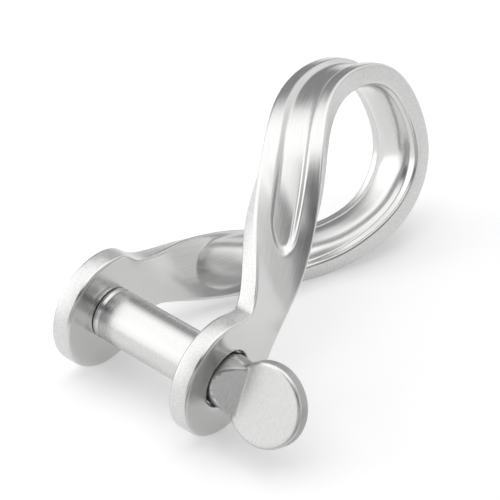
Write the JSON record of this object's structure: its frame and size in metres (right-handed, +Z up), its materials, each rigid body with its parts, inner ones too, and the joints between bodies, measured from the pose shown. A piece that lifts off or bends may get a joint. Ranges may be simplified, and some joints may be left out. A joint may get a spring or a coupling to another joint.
{
  "type": "twisted strip shackle",
  "caption": "Pressed stainless strip shackle with a grooved bow twisted across its jaw, closed by a screw pin that ends in a flat round thumb tab.",
  "frame": {"origin": "middle of the pin's span, on the pin axis, halfway between the two ears", "axes": "+X along the pin towards its thumb tab, +Y along the shackle towards the bow, +Z up as it lies on a table"},
  "size_m": [0.0249, 0.0413, 0.0199],
  "materials": {
    "strip_steel": "polished pressed stainless strip with matte sheared edges",
    "pin_steel": "polished stainless"
  },
  "bodies": {
    "shackle": {"shackle_body": "strip_steel"},
    "pin": {"pin_shank": "pin_steel"},
    "tab": {"pin_tab": "pin_steel"}
  },
  "joints": [
    {"name": "pin_travel", "type": "slide", "parent": "shackle", "child": "pin", "axis": [1, 0, 0], "range_m": [0, 0.0147]},
    {"name": "pin_turn", "type": "hinge", "parent": "pin", "child": "tab", "pos_m": [0, 0, 0], "axis": [1, 0, 0], "range_deg": [0, 7560]}
  ],
  "couplings": [
    {"joint": "pin_turn", "follows": "pin_travel", "rad_per_m": 8976}
  ]
}
